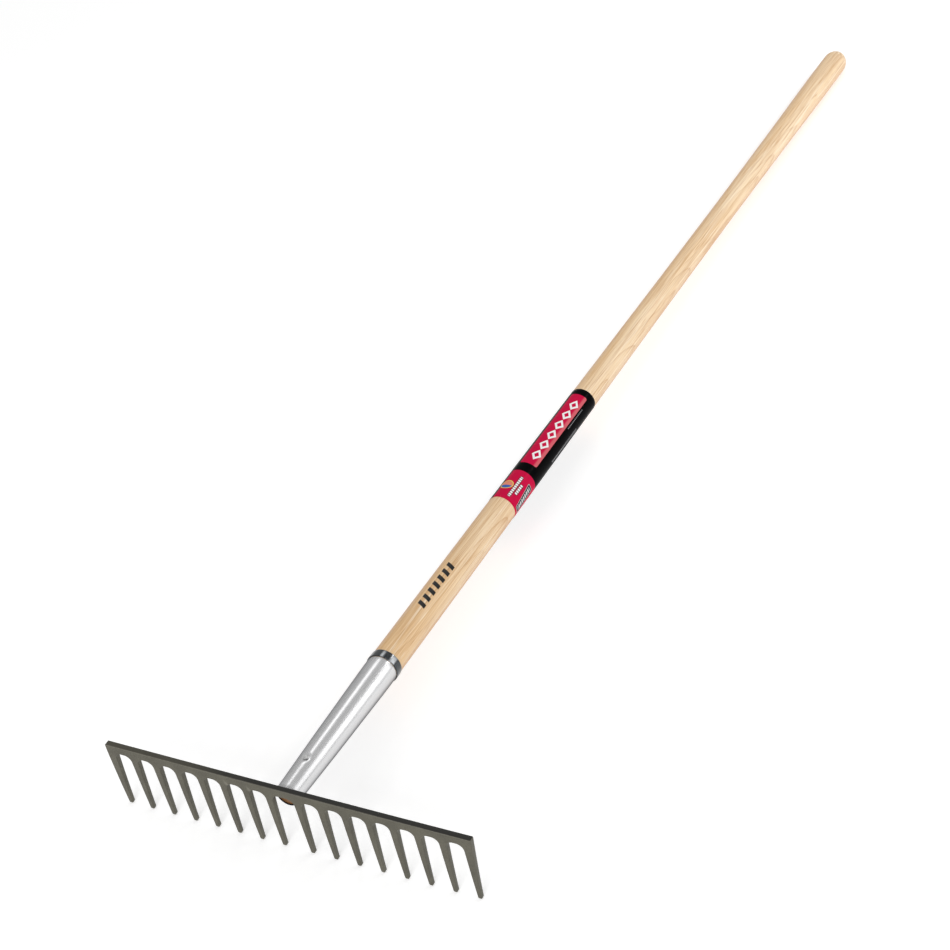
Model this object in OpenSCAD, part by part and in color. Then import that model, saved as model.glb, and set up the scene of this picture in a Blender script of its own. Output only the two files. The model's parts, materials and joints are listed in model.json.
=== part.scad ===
// Level-head garden rake: a one-piece forged head with sixteen tines, held by its tang in an ash
// handle with a tapered ferrule. Millimetres, +Z up, lying on its tine tips and on the handle's end.
// The origin is on the ground, under the middle of the rake's outer box.

/* [Head] */
// Distance from one tine to the next
tine_pitch = 25.4; // [25:0.1:30]
// Distance between the two middle tines
middle_gap = 31.4; // [26:0.1:40]
// Height of the bar above the arches
bar_height = 9.2; // [7:0.1:14]
// Front-to-back thickness of the bar
bar_depth = 6.2; // [5.5:0.1:7.5]
// How far the bar's ends sweep back from its middle
bar_sweep = 0.6; // [0:0.1:2.5]
// How far the bar's top corners stand out beyond the plain taper of the outer tines
end_flare = 1.4; // [0:0.1:2]
// Radius of the arches between the tines
arch_radius = 7.4; // [5:0.1:7.6]

/* [Tines] */
// Length of a tine, from the top of the bar to the tip
tine_length = 82.9; // [60:0.1:110]
// Width of a tine at the top of the bar, seen from the front
tine_root_w = 8.2; // [7:0.1:9]
// Width of a tine at its tip, seen from the front
tine_tip_w = 4; // [3:0.1:5]
// Thickness of a tine at its tip, seen from the side
tine_tip_depth = 4.2; // [3:0.1:5]
// How far the tips curve back towards the handle
tine_curve = 2.1; // [0:0.1:3]

/* [Tang] */
// How far the tines lean towards the handle from square
head_lean = 2.4; // [0:0.1:6]
// Depth of the handle's axis below the top of the bar
axis_drop = 14; // [13:0.1:14.2]
// Diameter of the tang where it leaves the bar
tang_d = 8.4; // [7:0.1:8.4]
// Diameter of the tang at its point
tang_point_d = 5; // [4:0.1:6]
// Distance from the bar's front face to the tang's point
tang_reach = 130; // [100:1:160]

/* [Ferrule] */
// Distance from the bar's front face to the ferrule's lower end
ferrule_start = 8; // [8:0.1:12]
// Distance from the bar's front face to the ferrule's upper end
ferrule_end = 195; // [180:1:220]
// Outside diameter of the ferrule's lower end
ferrule_low_d = 24.7; // [24.6:0.1:26.4]
// Outside diameter of the ferrule where its taper eases
ferrule_mid_d = 28.6; // [28:0.1:29.4]
// Distance from the bar's front face to where the ferrule's taper eases
ferrule_mid = 78; // [75:1:100]
// Outside diameter of the ferrule's upper end
ferrule_top_d = 33; // [32:0.1:33.2]
// Wall of the ferrule
ferrule_wall = 1.4; // [1:0.1:1.5]
// Length of the collar ring
ring_length = 10; // [6:0.5:14]
// Outside diameter of the collar ring
ring_d = 34.9; // [34.8:0.1:37]
// Distance from the bar's front face to the cross pin
pin_place = 48; // [44:1:70]
// Diameter of the cross pin
pin_d = 3.2; // [2.5:0.1:3.6]
// Diameter of the cross pin's heads
pin_head_d = 6.2; // [5:0.1:7]

/* [Handle] */
// Distance from the bar's front face to the handle's far end
handle_reach = 1536; // [1300:1:1700]
// Diameter of the handle above the ring
handle_d = 33.1; // [33:0.1:33.6]
// Diameter of the handle at its waist
waist_d = 27.7; // [26:0.1:30]
// Place of the waist, as a share of the handle's reach
waist_share = 0.71; // [0.6:0.01:0.75]
// Diameter of the swell at the far end
swell_d = 31.7; // [31:0.1:33]
// Length of the straight stretch of the swell
swell_length = 64; // [50:1:90]
// Length of the handle's rounded far end
butt_length = 23; // [14:1:30]

/* [Label] */
// Distance from the bar's front face to the label's lower edge
label_start = 466; // [400:1:600]
// Length of the label
label_length = 210; // [100:1:260]
// Thickness of the label film
label_film = 0.25; // [0.2:0.05:0.5]

/* [Hidden] */

$fn = 96;
tines_a_side = 8;
fit_gap = 0.1;          // clearance between pieces that sit inside one another
cut = 1;                // how far a cutting shape runs past what it cuts
arch_bite = 0.05;       // how far an arch runs into the tine beside it, so that the two meet cleanly

// Places of the tines along the bar, from left to right
tine_places = [for (i = [0:2 * tines_a_side - 1])
    (i - tines_a_side + 0.5) * tine_pitch + sign(i - tines_a_side + 0.5) * (middle_gap - tine_pitch) / 2];
outer_tine = middle_gap / 2 + (tines_a_side - 1) * tine_pitch;
bar_length = 2 * (outer_tine + tine_root_w / 2 + end_flare);
// How far the bar has swept back at a place along it
function sweep_at(x) = bar_sweep * pow(2 * x / bar_length, 2);

// Slope of a tine's side, and the tip circle that touches both sides
side_slope = atan((tine_root_w - tine_tip_w) / 2 / tine_length);
tip_radius = (tine_root_w / 2 * cos(side_slope) - tine_length * sin(side_slope)) / (1 - sin(side_slope));
tip_centre = tine_length - tip_radius;
function tine_half_w(depth) = tine_root_w / 2 - depth * tan(side_slope);
// How far the outer side of an outer tine stands out at a depth
function flare_at(depth) = end_flare * (1 - depth / tine_length);
// The arches are cut from a web that reaches down to the arches' centres, and a tine starts inside it
web = bar_height + arch_radius;
tine_start = bar_height + arch_radius / 2;
// Centre line and thickness of a tine seen from the side, at a depth below the top of the bar
function tine_middle(depth) = bar_depth / 2 + tine_curve * pow(depth / tine_length, 2);
function tine_thickness(depth) = bar_depth
    - (bar_depth - tine_tip_depth) * depth / tine_length
    - 2 * tip_bevel_slope * max(0, depth - tine_length + tip_bevel);
tip_bevel = 1.4;        // height of the bevels at a tine's tip, seen from the side
tip_bevel_slope = 0.7;
side_steps = 8;

// The tang drops from the bar's lower half to the handle's axis along a slanted neck
neck_top = [bar_depth / 2, axis_drop - bar_height + tang_d / 2];
neck_bottom = [16, 0];
neck_angle = atan2(neck_top[1], neck_bottom[0] - neck_top[0]);
neck_length = norm(neck_bottom - neck_top);
knuckle = 0.3;          // how far the round bend of the tang stands out of the neck

// Radius of the ferrule's outside at a distance along the handle
ferrule_taper_end = ferrule_end - 12;
function ferrule_r(s) = lookup(s, [
    [ferrule_start, ferrule_low_d / 2],
    [ferrule_mid, ferrule_mid_d / 2],
    [ferrule_taper_end, ferrule_top_d / 2]
]);
ferrule_stations = [ferrule_start, ferrule_mid, ferrule_taper_end, ferrule_end];

// The wood steps out to its full size above the ferrule, where the ring sits on a seat of its own
shoulder = ferrule_end + fit_gap;
ring_end = shoulder + ring_length + fit_gap;

// Radius of the bare handle: it narrows smoothly to the waist, then widens ever faster to the swell
waist_place = handle_reach * waist_share;
swell_end = handle_reach - butt_length;
swell_start = swell_end - swell_length;
swell_ease = 1.6;       // 1 would widen the handle evenly, and a larger value widens it later
function smooth(t) = t * t * (3 - 2 * t);
function share(s, from, to) = (s - from) / (to - from);
function handle_r(s) = s < waist_place
    ? (handle_d + (waist_d - handle_d) * smooth(share(s, ring_end, waist_place))) / 2
    : (waist_d + (swell_d - waist_d) * pow(share(s, waist_place, swell_start), swell_ease)) / 2;
taper_steps = 12;
butt_step = 7.5;        // angle from one turn of the rounded end to the next
function stations(from, to, steps) = [for (i = [0:steps]) from + (to - from) * i / steps];

// The rake lies on its tips and on the end of the swell: the slope of the handle follows from how far
// the tips reach below the handle's axis, and how far behind them the swell ends
tip_front = tine_middle(tine_length) - tine_tip_depth / 2;
tip_drop = tine_length - axis_drop;
tip_y = tip_front * cos(head_lean) + tip_drop * sin(head_lean);
tip_below = tip_drop * cos(head_lean) - tip_front * sin(head_lean);
lie_angle = atan((tip_below - swell_d / 2) / (swell_end - tip_y));
lift = swell_end * sin(lie_angle) + swell_d / 2 * cos(lie_angle);
// Front and back limits of the lying rake, for an origin in the middle
front_limit = -axis_drop * sin(head_lean - lie_angle);
back_limit = handle_reach * cos(lie_angle);
middle = (front_limit + back_limit) / 2;

// Stands a shape that is drawn up the Z axis along the handle's axis instead
module along_handle() {
    rotate([-90, 0, 0]) children();
}

// Moves the tool from its own frame, with the handle's axis along Y, to where it lies
module laid_down() {
    translate([0, -middle, lift]) rotate([-lie_angle, 0, 0]) children();
}

// One tine seen from the front, pointing down from the top of the bar. The outer side is -1 for a tine
// whose left side flares, 1 for one whose right side does, and 0 for the tines between them
module tine_front(outer_side) {
    tangent = [tip_radius * cos(side_slope), -tip_centre - tip_radius * sin(side_slope)];
    root = tine_half_w(tine_start);
    root_left = -root - (outer_side < 0 ? flare_at(tine_start) : 0);
    root_right = root + (outer_side > 0 ? flare_at(tine_start) : 0);
    polygon([[root_left, -tine_start], [-tangent[0], tangent[1]], tangent, [root_right, -tine_start]]);
    translate([0, -tip_centre]) circle(tip_radius);
}

// One tine seen from the side: curved back a little, thinner towards the tip and bevelled there
module tine_side() {
    depths = concat(stations(tine_start, tine_length - tip_bevel, side_steps), [tine_length + cut]);
    front = [for (d = depths) [tine_middle(d) - tine_thickness(d) / 2, -d]];
    back = [for (i = [len(depths) - 1:-1:0]) let (d = depths[i])
        [tine_middle(d) + tine_thickness(d) / 2, -d]];
    polygon(concat(front, back));
}

module tine(outer_side) {
    reach_back = bar_depth + tine_curve + cut;
    intersection() {
        translate([0, reach_back, 0]) rotate([90, 0, 0]) linear_extrude(reach_back + cut)
            tine_front(outer_side);
        translate([-tine_root_w, 0, 0]) rotate([90, 0, 90]) linear_extrude(2 * tine_root_w) tine_side();
    }
}

// The opening between two tines in the web, under its round-cornered arch
module arch_front(x1, x2) {
    inset = tine_half_w(web) + (arch_radius - arch_bite) / cos(side_slope);
    for (x = [x1 + inset, x2 - inset]) translate([x, -web]) circle(arch_radius);
    translate([x1 + inset, -web - cut]) square([x2 - x1 - 2 * inset, arch_radius + cut]);
}

// The bar and its web seen from the front, with ends that follow the sides of the outer tines
module bar_front() {
    bottom_half = outer_tine + tine_half_w(web) + flare_at(web);
    top_half = outer_tine + tine_half_w(-cut) + flare_at(-cut);
    difference() {
        polygon([[-top_half, cut], [-bottom_half, -web], [bottom_half, -web], [top_half, cut]]);
        arch_front(-middle_gap / 2, middle_gap / 2);
        for (i = [0:tines_a_side - 2]) {
            inner = middle_gap / 2 + i * tine_pitch;
            arch_front(inner, inner + tine_pitch);
            arch_front(-inner - tine_pitch, -inner);
        }
    }
}

// The bar seen from above: it sweeps back at both ends, turning a little at each tine
module bar_above() {
    turns = concat([-bar_length / 2], tine_places, [bar_length / 2]);
    front = [for (x = turns) [x, sweep_at(x)]];
    back = [for (i = [len(turns) - 1:-1:0]) [turns[i], sweep_at(turns[i]) + bar_depth]];
    polygon(concat(front, back));
}

// The forging without its tang
module forging() {
    reach_back = bar_depth + bar_sweep + cut;
    intersection() {
        translate([0, reach_back, 0]) rotate([90, 0, 0]) linear_extrude(reach_back + cut) bar_front();
        translate([0, 0, -web - cut]) linear_extrude(web + cut) bar_above();
    }
    last = len(tine_places) - 1;
    for (i = [0:last]) translate([tine_places[i], sweep_at(tine_places[i]), 0])
        tine(i == 0 ? -1 : i == last ? 1 : 0);
}

// The slanted neck and the spike on the handle's axis, with room around them if grow is above 0
module tang(grow) {
    r = tang_d / 2 + grow;
    translate([0, neck_top[0], neck_top[1]]) rotate([-90 - neck_angle, 0, 0])
        cylinder(h = neck_length, r = r);
    translate([0, neck_bottom[0], 0]) sphere(r + knuckle);
    translate([0, neck_bottom[0], 0]) along_handle()
        cylinder(h = tang_reach + grow - neck_bottom[0], r1 = r, r2 = tang_point_d / 2 + grow);
}

// A round hole or rod across the handle at the cross pin
module across(d, length) {
    translate([0, pin_place, -length / 2]) cylinder(h = length, d = d);
}

module rake_head() {
    color("#67645a") laid_down() difference() {
        union() {
            rotate([head_lean, 0, 0]) translate([0, 0, axis_drop]) forging();
            tang(0);
        }
        across(pin_d + 2 * fit_gap, ferrule_top_d);
    }
}

module ferrule() {
    outside = [for (s = ferrule_stations) [ferrule_r(s), s]];
    inside = [for (i = [len(ferrule_stations) - 1:-1:0])
        [ferrule_r(ferrule_stations[i]) - ferrule_wall, ferrule_stations[i]]];
    color("#c9cacc") laid_down() difference() {
        along_handle() rotate_extrude() polygon(concat(outside, inside));
        across(pin_d + 2 * fit_gap, ferrule_top_d);
    }
}

module collar_ring() {
    edge = 0.5;
    bore = handle_d / 2 - fit_gap;
    color("#3c4044") laid_down() along_handle() translate([0, 0, shoulder]) rotate_extrude()
        polygon([
            [bore, 0],
            [ring_d / 2 - edge, 0],
            [ring_d / 2, edge],
            [ring_d / 2, ring_length - edge],
            [ring_d / 2 - edge, ring_length],
            [bore, ring_length]
        ]);
}

module handle() {
    wood_start = ferrule_start + 3;
    seat = [for (s = [wood_start, ferrule_mid, ferrule_taper_end, shoulder])
        [ferrule_r(s) - ferrule_wall - fit_gap, s]];
    ring_seat = [for (s = [shoulder, ring_end]) [handle_d / 2 - 2 * fit_gap, s]];
    down = [for (s = stations(ring_end, waist_place, taper_steps)) [handle_r(s), s]];
    up = [for (i = [1:taper_steps]) let (s = waist_place + (swell_start - waist_place) * i / taper_steps)
        [handle_r(s), s]];
    butt = [for (a = [butt_step:butt_step:90]) [swell_d / 2 * cos(a), swell_end + butt_length * sin(a)]];
    swell = [[swell_d / 2, swell_end]];
    color("#e6c592") laid_down() difference() {
        along_handle() rotate_extrude()
            polygon(concat([[0, wood_start]], seat, ring_seat, down, up, swell, butt));
        tang(fit_gap);
        across(pin_d + 2 * fit_gap, ferrule_top_d);
    }
}

module cross_pin() {
    shank = 2 * (ferrule_r(pin_place) + fit_gap);
    head_h = 1.1;
    head_sphere_r = (pow(pin_head_d / 2, 2) + pow(head_h, 2)) / (2 * head_h);
    color("#9a9a98") laid_down() {
        across(pin_d, shank + head_h);
        for (side = [0, 1]) mirror([0, 0, side]) translate([0, pin_place, shank / 2]) intersection() {
            translate([0, 0, head_h - head_sphere_r]) sphere(head_sphere_r);
            cylinder(h = head_h + cut, d = pin_head_d + cut);
        }
    }
}

module label_wrap() {
    steps = 6;
    edges = stations(label_start, label_start + label_length, steps);
    inside = [for (s = edges) [handle_r(s) + fit_gap / 2, s]];
    outside = [for (i = [steps:-1:0]) [handle_r(edges[i]) + fit_gap / 2 + label_film, edges[i]]];
    color("#1c1a1b") laid_down() along_handle() rotate_extrude() polygon(concat(inside, outside));
}

rake_head();
ferrule();
collar_ring();
handle();
cross_pin();
label_wrap();
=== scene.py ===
"""Looks of the level-head garden rake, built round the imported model. Metres, +Z up, in the CAD's frame.

Two frames are used. The tool frame has its origin on the handle's axis at the bar's front face, +Y along
the axis to the free end and +X to the right of the bar. The head frame has its origin in the middle of the
bar's front top edge, +Y to the back and +Z out of the bar's top.
"""

import json
import math

import bmesh
import bpy
import numpy as np
from mathutils import Matrix, Vector, geometry


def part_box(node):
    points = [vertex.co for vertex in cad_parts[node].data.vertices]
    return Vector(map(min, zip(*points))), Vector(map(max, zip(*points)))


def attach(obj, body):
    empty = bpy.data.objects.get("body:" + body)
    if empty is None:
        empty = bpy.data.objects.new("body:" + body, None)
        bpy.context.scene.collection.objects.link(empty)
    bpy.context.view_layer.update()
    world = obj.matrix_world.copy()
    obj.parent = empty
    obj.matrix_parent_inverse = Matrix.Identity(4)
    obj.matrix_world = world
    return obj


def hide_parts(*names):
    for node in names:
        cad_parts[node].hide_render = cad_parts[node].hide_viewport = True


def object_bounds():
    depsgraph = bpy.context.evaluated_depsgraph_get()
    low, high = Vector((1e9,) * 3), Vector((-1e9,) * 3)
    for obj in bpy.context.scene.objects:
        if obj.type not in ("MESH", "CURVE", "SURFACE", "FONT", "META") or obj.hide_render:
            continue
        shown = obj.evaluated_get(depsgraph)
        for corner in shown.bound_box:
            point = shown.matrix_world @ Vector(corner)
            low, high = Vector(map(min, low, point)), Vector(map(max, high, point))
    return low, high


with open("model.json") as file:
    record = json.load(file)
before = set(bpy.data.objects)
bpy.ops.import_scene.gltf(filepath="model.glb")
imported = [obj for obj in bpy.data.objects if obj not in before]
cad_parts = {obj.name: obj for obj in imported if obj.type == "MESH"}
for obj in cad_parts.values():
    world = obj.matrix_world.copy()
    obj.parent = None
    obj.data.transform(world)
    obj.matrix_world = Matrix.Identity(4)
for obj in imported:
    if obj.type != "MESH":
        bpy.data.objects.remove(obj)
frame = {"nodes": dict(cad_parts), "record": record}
CAD_LOW, CAD_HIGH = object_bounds()

MM = 0.001
TAU = 2 * math.pi


# ---- places, from the frame
def column_matrix(x_axis, y_axis, z_axis, origin):
    m = Matrix.Identity(4)
    for column, v in enumerate((x_axis, y_axis, z_axis, origin)):
        for row in range(3):
            m[row][column] = v[row]
    return m


FERRULE_SETBACK = 8.0 * MM  # from the bar's front face to the ferrule's lower end
BAR_DEPTH = 6.2 * MM
STATION = 0.5 * MM  # vertices of a round node nearer than this along the handle belong together
# The least outside radius of each round node: smaller ones belong to its bore or its rounded end
LEAST_RADIUS = {"ferrule": 11.8 * MM, "collar_ring": 10 * MM, "handle": 6 * MM, "label_wrap": 5 * MM}

MOUNTS = {m["name"]: m for m in frame["record"]["mounts"]}
X_AXIS = Vector((1, 0, 0))
HANDLE_AXIS = Vector(MOUNTS["handle_end"]["axis"]).normalized()
HANDLE_POINT = Vector(MOUNTS["handle_end"]["pos_m"])
BAR_NORMAL = Vector(MOUNTS["bar_top"]["axis"]).normalized()
BAR_POINT = Vector(MOUNTS["bar_top"]["pos_m"])


def node_points(node):
    """A CAD node's vertices as (place along the handle, distance from its axis), from HANDLE_POINT."""
    mesh = frame["nodes"][node].data
    co = np.array([v.co for v in mesh.vertices]) - np.array(HANDLE_POINT)
    along = co @ np.array(HANDLE_AXIS)
    return along, np.linalg.norm(co - np.outer(along, HANDLE_AXIS), axis=1)


FERRULE_LOW = float(node_points("ferrule")[0].min())
TOOL_ORIGIN = HANDLE_POINT + HANDLE_AXIS * (FERRULE_LOW - FERRULE_SETBACK)
TOOL = column_matrix(X_AXIS, HANDLE_AXIS, X_AXIS.cross(HANDLE_AXIS), TOOL_ORIGIN)
HEAD_Y = BAR_NORMAL.cross(X_AXIS)
HEAD = column_matrix(X_AXIS, HEAD_Y, BAR_NORMAL, BAR_POINT - HEAD_Y * BAR_DEPTH / 2)
SHIFT = (HANDLE_POINT - TOOL_ORIGIN).dot(HANDLE_AXIS)  # where HANDLE_POINT lies in the tool frame


def outside(node):
    """(places, radii) of a round node's outside in the tool frame."""
    along, radius = node_points(node)
    found = {}
    for s, r in zip(np.round((along + SHIFT) / STATION), radius):
        if r > LEAST_RADIUS[node]:
            found[s] = max(found.get(s, 0), r)
    places = sorted(found)
    return np.array(places) * STATION, np.array([found[s] for s in places])


def span(node):
    """First and last place of a node along the handle, in the tool frame."""
    along = node_points(node)[0] + SHIFT
    return float(along.min()), float(along.max())


# ---- mesh helpers
def linked(name, data):
    """A new object of the scene for a mesh, a light or a camera."""
    ob = bpy.data.objects.new(name, data)
    bpy.context.scene.collection.objects.link(ob)
    return ob


def placed_mesh(name, verts, faces, matrix, material):
    """A mesh object at the origin, whose vertices were given in the frame that the matrix places."""
    mesh = bpy.data.meshes.new(name)
    mesh.from_pydata([tuple(v) for v in verts], [], [list(f) for f in faces])
    mesh.transform(matrix)
    mesh.update()
    mesh.materials.append(material)
    return linked(name, mesh)


def finish_piece(ob, replaced, sharp_deg):
    """Smooth shading with edges sharper than an angle kept, the piece put under its body, and its CAD node
    hidden.
    """
    ob.data.shade_smooth()
    ob.data.set_sharp_from_angle(angle=math.radians(sharp_deg))
    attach(ob, "root")
    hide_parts(replaced)


def new_piece(name, verts, faces, material, replaced, sharp_deg, matrix=TOOL):
    ob = placed_mesh(name, verts, faces, matrix, material)
    finish_piece(ob, replaced, sharp_deg)
    return ob


def round_corner(corner, before, after, radius, steps=4):
    """Points of a small arc that rounds a corner of a profile between two of its neighbours."""
    c, b, a = (np.array(p, float) for p in (corner, before, after))
    db, da = (b - c) / np.linalg.norm(b - c), (a - c) / np.linalg.norm(a - c)
    start, end = c + db * radius, c + da * radius
    made = []
    for i in range(steps + 1):
        t = i / steps
        made.append(tuple((1 - t) ** 2 * start + 2 * t * (1 - t) * c + t * t * end))
    return made


def rounded_loop(points, radii, steps=4):
    """A closed profile with each corner rounded by its own radius, where 0 keeps it as it is."""
    made = []
    n = len(points)
    for i, (p, r) in enumerate(zip(points, radii)):
        if r > 0:
            made += round_corner(p, points[i - 1], points[(i + 1) % n], r, steps)
        else:
            made.append(tuple(p))
    return made


def lathe_mesh(profile, count, closed, move=None):
    """Turns (place, radius) points round the Y axis. An open profile starts and ends on the axis.

    move(place, radius, angle) is how much farther out than its radius a point lies.
    """
    verts, faces = [], []
    rows = profile if closed else profile[1:-1]
    n = len(rows)
    for i in range(count):
        a = TAU * i / count
        for s, r in rows:
            q = r + (move(s, r, a) if move else 0)
            verts.append((q * math.sin(a), s, q * math.cos(a)))
    for i in range(count):
        j = (i + 1) % count
        for k in range(n if closed else n - 1):
            m = (k + 1) % n
            faces.append((i * n + k, j * n + k, j * n + m, i * n + m))
    if not closed:
        first, last = len(verts), len(verts) + 1
        verts += [(0, profile[0][0], 0), (0, profile[-1][0], 0)]
        for i in range(count):
            j = (i + 1) % count
            faces.append((first, j * n, i * n))
            faces.append((last, i * n + n - 1, j * n + n - 1))
    return verts, faces


# ---- node helper
class Shade:
    """A material whose nodes are made in short calls; point is the place in the frame that local gives."""

    def __init__(self, name, local=None):
        self.material = bpy.data.materials.new(name)
        self.material.use_nodes = True
        self.tree = self.material.node_tree
        self.tree.nodes.clear()
        out = self.tree.nodes.new("ShaderNodeOutputMaterial")
        self.shader = self.tree.nodes.new("ShaderNodeBsdfPrincipled")
        self.tree.links.new(self.shader.outputs[0], out.inputs[0])
        self.point = self.tree.nodes.new("ShaderNodeTexCoord").outputs["Object"]
        if local is not None:
            to_local = self.tree.nodes.new("ShaderNodeMapping")
            to_local.vector_type = "TEXTURE"
            to_local.inputs["Location"].default_value = local.to_translation()
            to_local.inputs["Rotation"].default_value = local.to_euler()
            self.put(to_local.inputs[0], self.point)
            self.point = to_local.outputs[0]

    def put(self, socket, value):
        if isinstance(value, bpy.types.NodeSocket):
            self.tree.links.new(value, socket)
        else:
            socket.default_value = value

    def set(self, **values):
        """Links sockets to the shader, and writes numbers and colours straight into its own sockets."""
        for name, value in values.items():
            self.put(self.shader.inputs[name.replace("_", " ")], value)

    def math(self, operation, a, b=0.0, c=0.0, clamp=False):
        n = self.tree.nodes.new("ShaderNodeMath")
        n.operation, n.use_clamp = operation, clamp
        for socket, value in zip(n.inputs, (a, b, c)):
            self.put(socket, value)
        return n.outputs[0]

    def plus(self, a, b):
        return self.math("ADD", a, b)

    def minus(self, a, b):
        return self.math("SUBTRACT", a, b)

    def times(self, a, b):
        return self.math("MULTIPLY", a, b)

    def split(self, vector):
        n = self.tree.nodes.new("ShaderNodeSeparateXYZ")
        self.put(n.inputs[0], vector)
        return n.outputs[0], n.outputs[1], n.outputs[2]

    def unrolled(self, x, y, z, per_turn, per_length):
        """The surface round the handle laid flat: (angle, place along), each times its own scale."""
        n = self.tree.nodes.new("ShaderNodeCombineXYZ")
        self.put(n.inputs[0], self.times(self.math("ARCTAN2", x, z), per_turn))
        self.put(n.inputs[1], self.times(y, per_length))
        return n.outputs[0]

    def noise(self, vector, scale, detail, roughness):
        n = self.tree.nodes.new("ShaderNodeTexNoise")
        self.put(n.inputs["Vector"], vector)
        for name, value in (("Scale", scale), ("Detail", detail), ("Roughness", roughness)):
            n.inputs[name].default_value = value
        return n.outputs["Fac"]

    def grain(self, across, along, detail, roughness):
        """Noise with one scale along the handle and another across it, both per metre."""
        n = self.tree.nodes.new("ShaderNodeVectorMath")
        n.operation = "MULTIPLY"
        self.put(n.inputs[0], self.point)
        n.inputs[1].default_value = (across, along, across)
        return self.noise(n.outputs[0], 1.0, detail, roughness)

    def cells(self, vector, scale):
        n = self.tree.nodes.new("ShaderNodeTexVoronoi")
        self.put(n.inputs["Vector"], vector)
        n.inputs["Scale"].default_value = scale
        return n.outputs["Distance"]

    def random(self, value):
        n = self.tree.nodes.new("ShaderNodeTexWhiteNoise")
        n.noise_dimensions = "1D"
        self.put(n.inputs["W"], value)
        return n.outputs["Value"]

    def ramp(self, value, *stops):
        """Maps a value through (place, level) stops, linear between them."""
        n = self.tree.nodes.new("ShaderNodeValToRGB")
        self.put(n.inputs[0], value)
        elements = n.color_ramp.elements
        while len(elements) < len(stops):
            elements.new(0.5)
        for e, (place, level) in zip(elements, stops):
            e.position = place
            e.color = (level, level, level, 1)
        return n.outputs[0]

    def between(self, value, low, high, to_low=0.0, to_high=1.0):
        """Smoothly maps low..high to to_low..to_high and holds outside."""
        n = self.tree.nodes.new("ShaderNodeMapRange")
        n.interpolation_type = "SMOOTHSTEP"
        for name, v in (("Value", value), ("From Min", low), ("From Max", high)):
            self.put(n.inputs[name], v)
        self.put(n.inputs["To Min"], to_low)
        self.put(n.inputs["To Max"], to_high)
        return n.outputs[0]

    def mix(self, share, a, b, blend="MIX"):
        n = self.tree.nodes.new("ShaderNodeMix")
        n.data_type, n.blend_type = "RGBA", blend
        for socket, value in ((n.inputs[0], share), (n.inputs[6], a), (n.inputs[7], b)):
            self.put(socket, (*value, 1) if isinstance(value, tuple) else value)
        return n.outputs[2]

    def facing(self, x, z, turn):
        """Cosine of the angle round the handle from a direction turned from the top towards +X."""
        return self.math("COSINE", self.minus(self.math("ARCTAN2", x, z), turn))

    def bump(self, height, distance, strength):
        n = self.tree.nodes.new("ShaderNodeBump")
        n.inputs["Strength"].default_value = strength
        n.inputs["Distance"].default_value = distance
        self.put(n.inputs["Height"], height)
        return n.outputs[0]


def toned(colour, share):
    """A colour, brighter or darker by a factor."""
    return tuple(c * share for c in colour)


# ---- materials
# The middle of the rake's lit side, which the photograph shows, from the handle's top towards +X; painted
# shade on the wood and the steel grows away from it
LIT_SIDE_TURN = math.radians(35.4)
SOFT_EDGE = 0.12  # mm, how soft the edge of a printed shape is


def arc_and_place(m, radius_mm):
    """Arc round the handle from its top and place along it, both in mm."""
    x, y, z = m.split(m.point)
    return m.times(m.math("ARCTAN2", x, z), radius_mm), m.math("DIVIDE", y, MM)


def box_mask(m, u, v, centre, size, corner):
    """1 inside a rounded rectangle in the (u, v) plane and 0 outside."""
    sides = []
    for value, middle, full in ((u, centre[0], size[0]), (v, centre[1], size[1])):
        away = m.math("ABSOLUTE", m.minus(value, middle))
        sides.append(m.minus(away, full / 2 - corner))
    out_u, out_v = (m.math("MAXIMUM", s, 0.0) for s in sides)
    reach = m.math("SQRT", m.plus(m.times(out_u, out_u), m.times(out_v, out_v)))
    depth = m.math("MINIMUM", m.math("MAXIMUM", *sides), 0.0)
    distance = m.minus(m.plus(reach, depth), corner)
    return m.between(distance, -SOFT_EDGE, SOFT_EDGE, 1.0, 0.0)


def row_mask(m, u, v, centre, size, pitch, bar, corner):
    """A row of bars along v inside a rounded rectangle: bar wide in v, one every pitch."""
    whole = box_mask(m, u, v, centre, size, corner)
    local = m.math("WRAP", m.minus(v, centre[1]), pitch / 2, -pitch / 2)
    one = box_mask(m, u, local, (centre[0], 0.0), (size[0], bar), min(corner, bar / 2))
    return m.times(whole, one)


def diamond_row(m, u, v, low, high, at, size, pitch, line):
    """A row of hollow diamonds along v; size is (across, along), and line the outline's width."""
    middle, length = (low + high) / 2, high - low
    local = m.math("WRAP", m.minus(v, low + pitch / 2), pitch / 2, -pitch / 2)
    side_u = m.times(m.math("ABSOLUTE", m.minus(u, at)), size[1] / size[0])
    reach = m.plus(side_u, m.math("ABSOLUTE", local))
    outer = m.between(reach, size[1] / 2 - SOFT_EDGE, size[1] / 2 + SOFT_EDGE, 1.0, 0.0)
    hole = size[1] / 2 - line
    inner = m.between(reach, hole - SOFT_EDGE, hole + SOFT_EDGE, 0.0, 1.0)
    within = box_mask(m, u, v, (at, middle), (size[0] + 2, length), 0.2)
    return m.times(m.times(outer, inner), within)


def slanted_row(m, u, v, low, high, at, wide, pitch, bar, lean):
    """A row of leaning bars along v between low and high; wide is their length round the handle."""
    leaning = m.math("MULTIPLY_ADD", m.minus(u, at), lean, v)
    return row_mask(m, u, leaning, (at, (low + high) / 2), (wide, high - low), pitch, bar, 0.2)


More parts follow.
